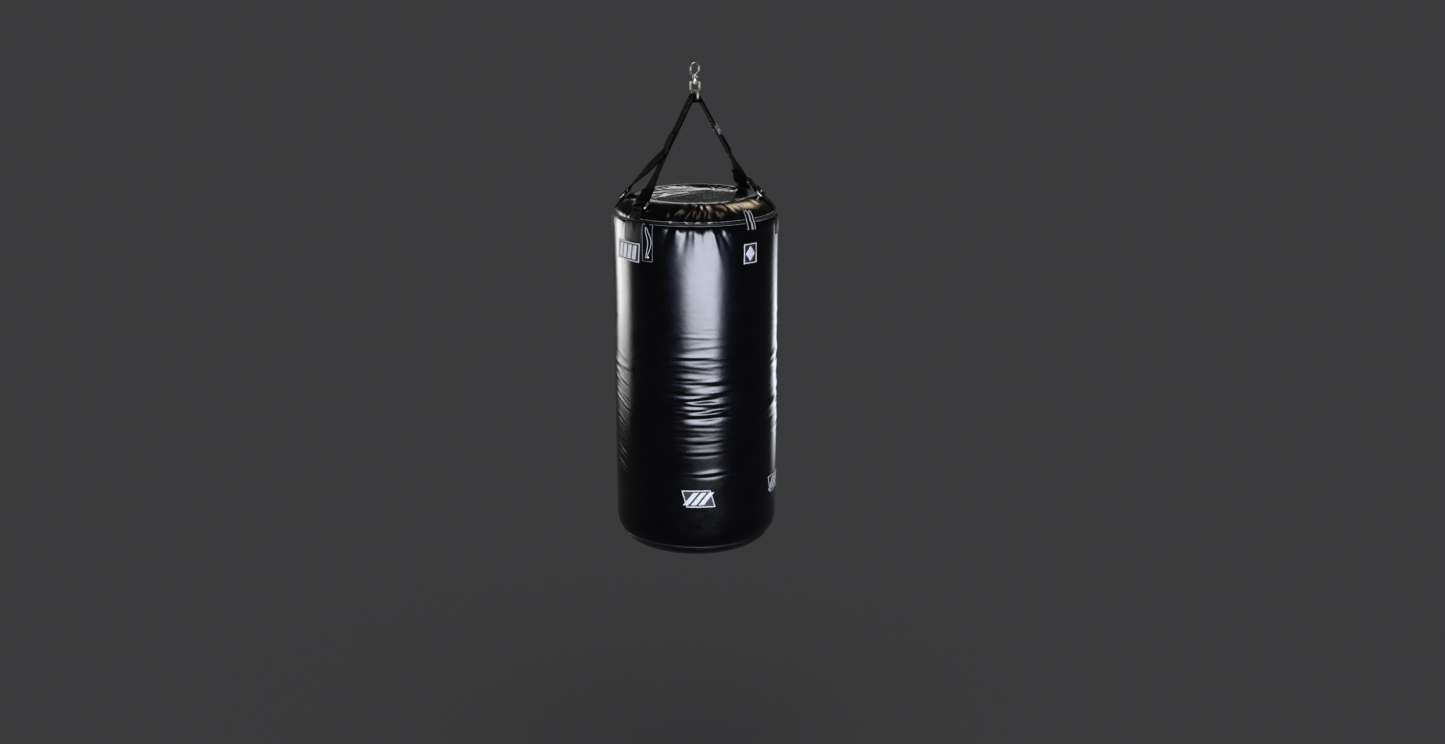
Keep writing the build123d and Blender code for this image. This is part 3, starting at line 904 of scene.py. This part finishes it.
def make_lace(place, top):
    """The lace sewn down on the stitched tab: its bends (mm), rounded off, and the knot at its upper end."""
    bends = np.array([(-3, -46), (4, -30), (12, -14), (13, 2), (8, 18), (2, 30), (-2, 36), (-3, 30), (0, 16),
                      (3, 0), (0, -18), (-5, -34), (-3, -46)]) * MM
    steps = np.linspace(0, len(bends) - 1, 120)
    route = np.stack([np.interp(steps, np.arange(len(bends)), bends[:, k]) for k in (0, 1)], -1)
    for _ in range(12):
        route[1:-1] = (route[:-2] + 2 * route[1:-1] + route[2:]) / 4
    line, _ = along_route(*place, route, top + 0.9 * MM)
    tube("tab_lace", line, 0.9 * MM, THREAD_LIGHT)
    a = np.linspace(0, 2 * pi, 28, endpoint=False)
    knot = np.stack([3.2 * np.cos(a), -47 + 4.5 * np.sin(a)], -1) * MM
    line, _ = along_route(*place, knot, top + 1.4 * MM)
    tube("tab_knot", line, 2.2 * MM, WEBBING_TRIM, closed=True)


def make_stud(place, top):
    """The bright stud near the foot of the stitched tab."""
    heights = np.array([0, 0.4, 0.8, 1.3, 1.8, 2.3, 2.8, 3.1, 3.3]) * MM
    radii = np.array([5.0, 5.2, 5.2, 4.4, 4.2, 3.9, 3.0, 2.0, 0.6]) * MM
    foot = np.stack([np.zeros(9), np.full(9, 38 * MM)], -1)
    line, _ = along_route(*place, foot, top - 0.3 * MM + heights)
    tube("tab_stud", line, 0, RING_STEEL, radii=radii, sides=24)


def make_stitched_tab():
    """The tab of webbing below the top seam, front left, with its border, lace and stud."""
    place = (-51, down(-0.4515))
    corners = rect(35 * MM, 101 * MM)
    top = 3.6 * MM
    tab = sew_patch("stitched_tab_web", *place, corners, 0.6 * MM, 2.6 * MM, WEBBING_TRIM, "webbing")
    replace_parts(tab, "stitched_tab")
    runs = [border_run(*place, corners, 1.6 * MM, top)]
    thread_runs("stitched_tab_stitches", runs, 0.45 * MM, THREAD_LIGHT, pitch=2.6 * MM, filled=0.9)
    make_lace(place, top)
    make_stud(place, top)


def make_loop(name, place, x, half, foot, lift):
    """A cord sewn down as a narrow arch, its sizes in mm."""
    spring, stretch = -13, 1.6
    bend = np.linspace(0, pi, 24)
    arch = np.stack([x - half * np.cos(bend), spring - stretch * half * np.sin(bend)], -1)
    leg = np.linspace(spring, foot, 12)[1:]
    left_leg = np.stack([np.full(11, x - half), leg], -1)[::-1]
    right_leg = np.stack([np.full(11, x + half), leg], -1)
    line, _ = along_route(*place, np.concatenate([left_leg, arch, right_leg]) * MM, lift)
    tube(name, line, 0.8 * MM, THREAD_LIGHT)


def make_closing_tab():
    """The tab across the top seam at the front right, its two loops, and the crossed stitch above it."""
    low, high = 23 * MM, -34 * MM
    place = (23.5, (low + high) / 2)
    corners = rect(29 * MM, low - high)
    top = 3.9 * MM
    tab = sew_patch("closing_tab_web", *place, corners, 1.1 * MM, 2.4 * MM, VINYL_SHOULDER, "webbing")
    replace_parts(tab, "closing_tab")
    thread_runs("closing_tab_border", [border_run(*place, corners, 1.8 * MM, top)], 0.35 * MM, THREAD_DARK,
                pitch=3 * MM)
    arm = 9 * MM
    centre = (place[0], -45 * MM)
    tips = ((arm, arm), (arm, -arm), (arm, 0), (0, arm))
    crossed = [line_run(*centre, (-x, -y), (x, y), 1.2 * MM) for x, y in tips]
    thread_runs("closing_tab_cross", crossed, 0.8 * MM, MARK_WHITE, filled=0.95)
    for i, sizes in enumerate(((-5, 6, 27), (8.5, 4.5, 29))):
        make_loop(f"closing_tab_loop_{i}", place, *sizes, top + 0.5 * MM)


# ---- webbing ----
class Band:
    """A flat woven band swept along a line: its middle, the way across it and its outer normal."""

    def __init__(self, middles, across, thickness=WEB, width=WEB_WIDTH):
        self.middles = middles
        ahead = unit(np.gradient(middles, axis=0))
        self.across = unit(across - ahead * np.sum(across * ahead, 1)[:, None])
        self.normal = np.cross(self.across, ahead)
        self.run = run_lengths(middles)
        self.thickness, self.width = thickness, width

    def at(self, distance, sideways, lift):
        """Points on the band's outer face, and the normals there."""
        middle, across, normal = (
            np.stack([np.interp(distance, self.run, values[:, k]) for k in range(3)], -1)
            for values in (self.middles, self.across, self.normal)
        )
        return middle + sideways[:, None] * across + normal * (self.thickness / 2 + lift), normal

    def mesh(self, name, material=WEBBING):
        """The band as a closed mesh with thick, rounded selvedges."""
        flat = np.linspace(-1, 1, 13)
        selvedge = 1 + 0.16 * bell((np.abs(flat) - 0.86) / 0.07) - 0.45 * smooth(np.abs(flat), 0.94, 1.0)
        half = self.width / 2 - 0.3 * MM
        xs = np.concatenate([flat * half, [self.width / 2], flat[::-1] * half, [-self.width / 2]])
        ys = np.concatenate([selvedge, [0], -selvedge[::-1], [0]]) * self.thickness / 2
        points = self.middles[:, None] + xs[None, :, None] * self.across[:, None]
        points = points + ys[None, :, None] * self.normal[:, None]
        rows, columns = points.shape[:2]
        faces = [list(f) for f in grid_faces(rows, columns, False, True)]
        faces += cap_faces(0, (rows - 1) * columns, columns)
        uvs = np.stack(np.broadcast_arrays(xs[None, :], self.run[:, None]), -1).reshape(-1, 2)
        return make_consistent(add_mesh(name, points, faces, material, uvs=uvs))

    def box_stitch(self, start, end, lift=0.3 * MM):
        """The runs of a sewn box with a cross in it, between two distances along the band."""
        side = self.width / 2 - 4 * MM
        corners = [(start, -side), (start, side), (end, side), (end, -side), (start, -side), (end, side)]
        pairs = list(zip(corners[:-1], corners[1:])) + [((start, side), (end, -side))]
        return [
            self.at(np.linspace(d0, d1, 12), np.linspace(s0, s1, 12), lift) for (d0, s0), (d1, s1) in pairs
        ]

    def edge_stitch(self, start, end):
        """The runs of a row of stitches along each selvedge."""
        along, edge = np.linspace(start, end, 40), self.width / 2 - 3 * MM
        return [self.at(along, np.full(40, side * edge), 0.25 * MM) for side in (-1, 1)]


BAR = np.array([0, 0, middle_z("crown_core")])
WRAP_INSIDE = 7.0 * MM  # the radius of the core under the sleeve
STRAPS = {
    "left": {"side": -1, "lean": 27.2, "length": 168 * MM, "anchor": 199 * MM},
    "right": {"side": 1, "lean": 29.3, "length": 184 * MM, "anchor": 181 * MM},
}
RING_WIRE = 2.5 * MM
RING_PITCH = 18 * MM  # between the bars of an anchor ring
LOOP_INSIDE = RING_WIRE + 0.1 * MM
LEG_GAP = 2.2 * MM
LEG_FLAT = 50 * MM  # below the fork, before a leg turns
FREE_END = 44 * MM  # of a leg, sewn back on itself past the ring
ANCHOR_LIFT = 8 * MM  # of a ring's lower bar over the shoulder
TAB_WEB = 3 * MM
UP = np.array([0, 0, 1.0])
ACROSS = np.array([0, 1.0, 0])


def strap_frame(strap):
    """The strap's direction and outer normal, and the middle of its start."""
    lean, side = radians(strap["lean"]), strap["side"]
    along = np.array([side * sin(lean), 0, -cos(lean)])
    normal = np.array([side * cos(lean), 0, sin(lean)])
    return along, normal, BAR + normal * (WRAP_INSIDE + WEB)


def strap_band(strap, distances, offset, width=WEB_WIDTH):
    """A band along a strap at an offset from its middle."""
    along, normal, start = strap_frame(strap)
    offset = np.broadcast_to(offset, distances.shape)
    line = start + distances[:, None] * along + offset[:, None] * normal
    return Band(line, ACROSS * -strap["side"], width=width)


def anchor_frame(strap, bearing):
    """An anchor's way outwards, the way along its bars, the shoulder's slope there, and its lower bar."""
    radial = directions(bearing, 0.0)
    tangent = np.array([-radial[1], radial[0], 0])
    steep = acos((strap["anchor"] - SHOULDER_R) / SHOULDER_FILLET)
    reach = SHOULDER_FILLET + ANCHOR_LIFT
    lower_bar = radial * (SHOULDER_R + reach * cos(steep)) + UP * (SHOULDER_Z + reach * sin(steep))
    return radial, tangent, steep, lower_bar


def make_upper_straps():
    """Two layers of webbing on each side. Gives back the runs of their stitches."""
    runs = []
    for name, strap in STRAPS.items():
        length = strap["length"]
        distances = np.linspace(0, length, 46)
        wave = 0.25 * MM * np.sin(distances * 60) * smooth(distances, 0, 30 * MM)
        for layer, offset in (("outer", WEB / 2 + 0.05 * MM), ("inner", -WEB / 2 - 0.05 * MM)):
            band = strap_band(strap, distances, offset + wave)
            piece = band.mesh(f"strap_{name}_{layer}")
            if layer == "outer":
                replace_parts(piece, f"upper_strap_{name}")
                runs += band.edge_stitch(6 * MM, length - 6 * MM) + band.box_stitch(10 * MM, 42 * MM)
    return runs


def make_crown():
    """The sleeve that carries the straps over the ring's bar, and the keeper under it."""
    angles = np.radians(np.linspace(STRAPS["right"]["lean"], 180 - STRAPS["left"]["lean"], 26))
    ray = np.stack([np.cos(angles), np.zeros(26), np.sin(angles)], -1)
    for layer, radius in (("outer", WRAP_INSIDE + 1.5 * WEB), ("inner", WRAP_INSIDE + 0.5 * WEB)):
        piece = Band(BAR + ray * radius, -ACROSS).mesh(f"crown_sleeve_{layer}")
        if layer == "outer":
            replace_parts(piece, "crown_sleeve")
    low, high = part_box("crown_keeper")
    half = np.linspace(low.x + 0.3 * MM, high.x - 0.3 * MM, 12)
    line = np.stack([half, np.zeros(12), np.full(12, middle_z("crown_keeper"))], -1)
    keeper = Band(line, ACROSS, thickness=high.z - low.z, width=high.y - low.y).mesh("crown_keeper_web")
    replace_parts(keeper, "crown_keeper")


def make_fork_patches():
    """The patch over each strap just above its fork, sewn with a crossed box."""
    runs = []
    length, above_fork = 44 * MM, 13 * MM
    for name, strap in STRAPS.items():
        middle = strap["length"] - length / 2 - above_fork
        distances = np.linspace(middle - length / 2, middle + length / 2, 20)
        band = strap_band(strap, distances, 1.5 * WEB + 0.4 * MM, WEB_WIDTH + 1.5 * MM)
        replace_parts(band.mesh(f"fork_patch_{name}_web", WEBBING_TRIM), f"fork_patch_{name}")
        runs += band.box_stitch(4 * MM, length - 4 * MM)
    thread_runs("fork_stitches", runs, 0.5 * MM, THREAD_DARK)


def make_leg(end, strap, bearing, layer_side):
    """One leg: flat below the fork, turning to the anchor ring, round its bar and sewn back on itself.

    Gives back the runs of its stitches.
    """
    _, tangent, _, lower_bar = anchor_frame(strap, bearing)
    along, normal, start = strap_frame(strap)
    fork = start + along * strap["length"]
    pull = fork - lower_bar
    pull = unit(pull - tangent * (pull @ tangent))
    upper_bar = lower_bar + pull * RING_PITCH
    across = np.cross(tangent, pull)
    if across @ normal * layer_side < 0:
        across = -across
    top = fork + normal * (layer_side * (WEB + LEG_GAP) / 2)
    radius = LOOP_INSIDE + WEB / 2 + 0.2 * MM
    foot = upper_bar + across * radius
    span = np.linalg.norm(foot - top)
    direction = (foot - top) / span
    width_top = unit(np.cross(direction, normal))
    width_foot = tangent if tangent @ width_top > 0 else -tangent
    distance = np.linspace(0, span, 52)
    share = smooth(distance, LEG_FLAT, span)[:, None]
    widths = width_top * (1 - share) + width_foot * share
    down_line = top + distance[:, None] * direction
    q = np.radians(np.linspace(8, 180, 22))
    turn = upper_bar + radius * (np.cos(q)[:, None] * across - np.sin(q)[:, None] * pull)
    back = np.linspace(3 * MM, FREE_END, 18)
    beside = foot - back[:, None] * direction - across * (WEB + 0.4 * MM)
    free = upper_bar - across * radius + back[:, None] * pull
    settle = smooth(back, 2 * MM, 26 * MM)[:, None]
    returned = free * (1 - settle) + beside * settle
    widths = np.concatenate([widths, np.broadcast_to(width_foot, (len(turn) + len(returned), 3))])
    band = Band(np.concatenate([down_line, turn, returned]), widths)
    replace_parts(band.mesh(f"leg_{end}_web"), f"leg_{end}")
    box = (span - 40 * MM, span - 14 * MM)
    return band.box_stitch(*box) + band.box_stitch(*box, lift=-WEB - 0.3 * MM)


def make_anchor_tab(end, strap, bearing):
    """The webbing sewn over the shoulder, up and round the anchor ring's lower bar.

    Gives back the runs of its stitches.
    """
    radial, tangent, steep, lower_bar = anchor_frame(strap, bearing)
    low = asin((TOP_SEAM - SHOULDER_Z + 4 * MM) / SHOULDER_FILLET)
    centre = radial * SHOULDER_R + UP * SHOULDER_Z
    loop = LOOP_INSIDE + TAB_WEB / 2
    angle = np.linspace(low, steep - 0.02, 34)
    on_shoulder = 1.8 * MM + FULLNESS * 0.4
    lift = on_shoulder + (ANCHOR_LIFT - loop - on_shoulder) * smooth(angle, steep - 0.16, steep)
    lift = lift + 0.4 * MM * np.sin(18 * angle) * smooth(angle, steep, low)
    outwards = np.cos(angle)[:, None] * radial + np.sin(angle)[:, None] * UP
    climb = centre + (SHOULDER_FILLET + lift)[:, None] * outwards
    q = np.radians(np.linspace(0, 318, 34))[1:, None]
    out = radial * cos(steep) + UP * sin(steep)
    on = UP * cos(steep) - radial * sin(steep)
    wrap = lower_bar + loop * (np.sin(q) * on - np.cos(q) * out)
    band = Band(np.concatenate([climb, wrap]), -tangent, thickness=TAB_WEB)
    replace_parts(band.mesh(f"anchor_tab_{end}_web"), f"anchor_tab_{end}")
    lift = 0.3 * MM if band.normal[0] @ radial > 0 else -TAB_WEB - 0.3 * MM
    return band.box_stitch(4 * MM, run_lengths(climb)[-1] - 12 * MM, lift=lift)


def make_webbing():
    """Every strap, leg and tab, and their stitches."""
    strap_runs = make_upper_straps()
    make_crown()
    thread_runs("strap_stitches", strap_runs, 0.4 * MM, THREAD_DARK)
    make_fork_patches()
    leg_runs, tab_runs = [], []
    for name, strap in STRAPS.items():
        for end_name, turn, layer_side in (("front", 65, -1), ("rear", 115, 1)):
            place = (f"{name}_{end_name}", strap, strap["side"] * turn)
            leg_runs += make_leg(*place, layer_side)
            tab_runs += make_anchor_tab(*place)
    thread_runs("leg_stitches", leg_runs, 0.4 * MM, THREAD_DARK)
    thread_runs("anchor_stitches", tab_runs, 0.45 * MM, THREAD_DARK)


make_covers()
make_top_panel()
make_seam_stitches()
make_anchor_patches()
make_marks()
make_stitched_tab()
make_closing_tab()
make_webbing()

# ---- camera, floor and light ----
LENS = 49.93  # of the camera, in mm, on a sensor 36 mm wide
CAMERA_PLACE = (0, 5.41, 0.603)  # the turn from FRONT_TURN, the distance from the axis and the height
CAMERA_YAW = -0.786  # away from the axis, which puts the bag left of the middle
CAMERA_FALL = 15.1  # below level
BAG_PIECES = bpy.data.collections.new("bag_pieces")
HOOK_PIECES = bpy.data.collections.new("hook_pieces")
FLOOR_PIECES = bpy.data.collections.new("floor_pieces")
FLOOR_LEVEL = -2.0
FLOOR_HALF = 30


def from_camera_side(turn, distance, height):
    """A point at a turn to the right from the camera's side of the bag, and a distance from the axis."""
    a = radians(FRONT_TURN + turn)
    return Vector((distance * sin(a), -distance * cos(a), height))


def make_camera():
    """The camera, above the hook's level, looks down a little, with the bag just left of the middle."""
    camera = add_object("camera", bpy.data.cameras.new("camera"))
    camera.data.lens = LENS
    camera.data.sensor_width = 36
    camera.data.clip_end = 100
    yaw = Matrix.Rotation(radians(FRONT_TURN + CAMERA_YAW), 4, "Z")
    pitch = Matrix.Rotation(radians(90 - CAMERA_FALL), 4, "X")
    camera.matrix_world = Matrix.Translation(from_camera_side(*CAMERA_PLACE)) @ yaw @ pitch
    bpy.context.scene.camera = camera


def add_lamp(lamp, place, aim, roll=0.0):
    """Puts a light at a place, turned towards a point, and keeps it out of the camera's sight."""
    holder = add_object(lamp.name, lamp)
    facing = (aim - place).to_track_quat("-Z", "Y").to_matrix().to_4x4()
    holder.matrix_world = Matrix.Translation(place) @ facing @ Matrix.Rotation(radians(roll), 4, "Z")
    holder.visible_camera = False
    return holder


def softbox(name, place, size, radiance, colour, aim_height=-0.8, roll=0.0, fade=(0.3, 0.3, 0.2, 0.2),
            taper=0.0, lit=BAG_PIECES):
    """A rectangular studio light that faces the bag, dimmer towards its edges.

    Its radiance is what a mirror in the bag's place would show. The fades are the shares of its size over
    which the left, right, upper and lower edges dim, and the taper moves its lower left corner inwards.
    """
    light = bpy.data.lights.new(name, "AREA")
    light.shape = "RECTANGLE"
    light.size, light.size_y = size
    light.energy = radiance * pi * size[0] * size[1]
    light.color = colour
    n = Nodes(light, "Emission")
    parametric = n.add("ShaderNodeNewGeometry").outputs["Parametric"]
    split = n.add("ShaderNodeSeparateXYZ", {"Vector": parametric})
    u, v = split.outputs["X"], split.outputs["Y"]
    from_top = n.math("SUBTRACT", 1.0, v)
    from_left = n.math("SUBTRACT", u, n.math("MULTIPLY", from_top, taper))
    from_right = n.math("SUBTRACT", 1.0, u)
    share = 1.0
    for distance, reach in zip((from_left, from_right, from_top, v), fade):
        inputs = {"Value": distance, "From Min": 0.0, "From Max": reach}
        step = n.add("ShaderNodeMapRange", inputs, interpolation_type="SMOOTHSTEP").outputs["Result"]
        share = n.math("MULTIPLY", share, step)
    n.finish(Strength=share)
    lamp = add_lamp(light, from_camera_side(*place), Vector((0, 0, aim_height)), roll)
    lamp.light_linking.receiver_collection = lit


def make_stage():
    """A plain pale floor under an even light, and a dim surround."""
    mesh = bpy.data.meshes.new("floor")
    corners = [(x, y, FLOOR_LEVEL) for x, y in rect(2 * FLOOR_HALF, 2 * FLOOR_HALF)]
    mesh.from_pydata(corners, [], [(0, 1, 2, 3)])
    mesh.materials.append(FLOOR)
    floor = add_object("floor", mesh)
    floor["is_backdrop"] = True
    FLOOR_PIECES.objects.link(floor)
    world = bpy.data.worlds.new("studio")
    world.use_nodes = True
    world.node_tree.nodes["Background"].inputs["Color"].default_value = rgb(0.030, 0.0305, 0.032)
    bpy.context.scene.world = world
    sun = bpy.data.lights.new("floor_light", "SUN")
    sun.energy = 0.13
    sun.angle = radians(70)
    lamp = add_lamp(sun, Vector((0.5, -1.0, 4)), Vector((0, 0, FLOOR_LEVEL)))
    lamp.light_linking.receiver_collection = FLOOR_PIECES


def make_lights():
    """Softboxes for the bag, and others for the bright hook and swivel alone."""
    hook_pieces = [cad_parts[node] for node in HOOK_NODES]
    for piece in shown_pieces():
        group = HOOK_PIECES if piece in hook_pieces else BAG_PIECES
        group.objects.link(piece)
    white, blue, warm = (1.0, 0.99, 0.98), (0.86, 0.90, 1.0), (1.0, 0.80, 0.58)
    deep_blue = (0.34, 0.42, 1.0)
    softbox("front_core", (1, 2.0, -0.92), (2.8, 1.18), 14.5, blue, roll=-10,
            fade=(0.25, 0.2, 0.1, 0.5), taper=0.32)
    softbox("front_fringe", (4, 2.1, -0.95), (3.8, 1.1), 1.6, deep_blue, roll=-10, fade=(0.3, 0.3, 0.2, 0.5))
    softbox("left_strip", (-120, 1.7, -0.82), (1.5, 1.35), 6.5, white, fade=(0.4, 0.3, 0.15, 0.45))
    softbox("right_strip", (147, 1.9, -1.15), (1.15, 1.3), 3.4, blue, fade=(0.35, 0.5, 0.5, 0.3))
    softbox("top_back", (180, 3.0, 0.84), (2.4, 0.5), 3.6, white, aim_height=TOP, fade=(0.2, 0.2, 0.3, 0.3))
    softbox("top_warm", (146, 2.2, 1.9), (1.6, 1.6), 7.0, warm, aim_height=TOP)
    softbox("overhead", (0, 0.9, 2.2), (1.5, 1.5), 2.4, warm, aim_height=TOP)
    hook_light = {"aim_height": -0.06, "lit": HOOK_PIECES}
    softbox("hook_front", (-12, 2.0, -0.30), (3.4, 1.0), 1.3, white, **hook_light)
    softbox("hook_left", (-105, 1.8, -0.25), (2.2, 1.0), 1.4, white, **hook_light)
    softbox("hook_right", (100, 1.8, -0.25), (2.2, 1.0), 1.0, white, **hook_light)
    softbox("hook_top", (0, 0.9, 1.5), (2.2, 2.0), 1.8, white, **hook_light)


make_camera()
make_stage()
make_lights()
bpy.context.scene.view_settings.view_transform = "Standard"
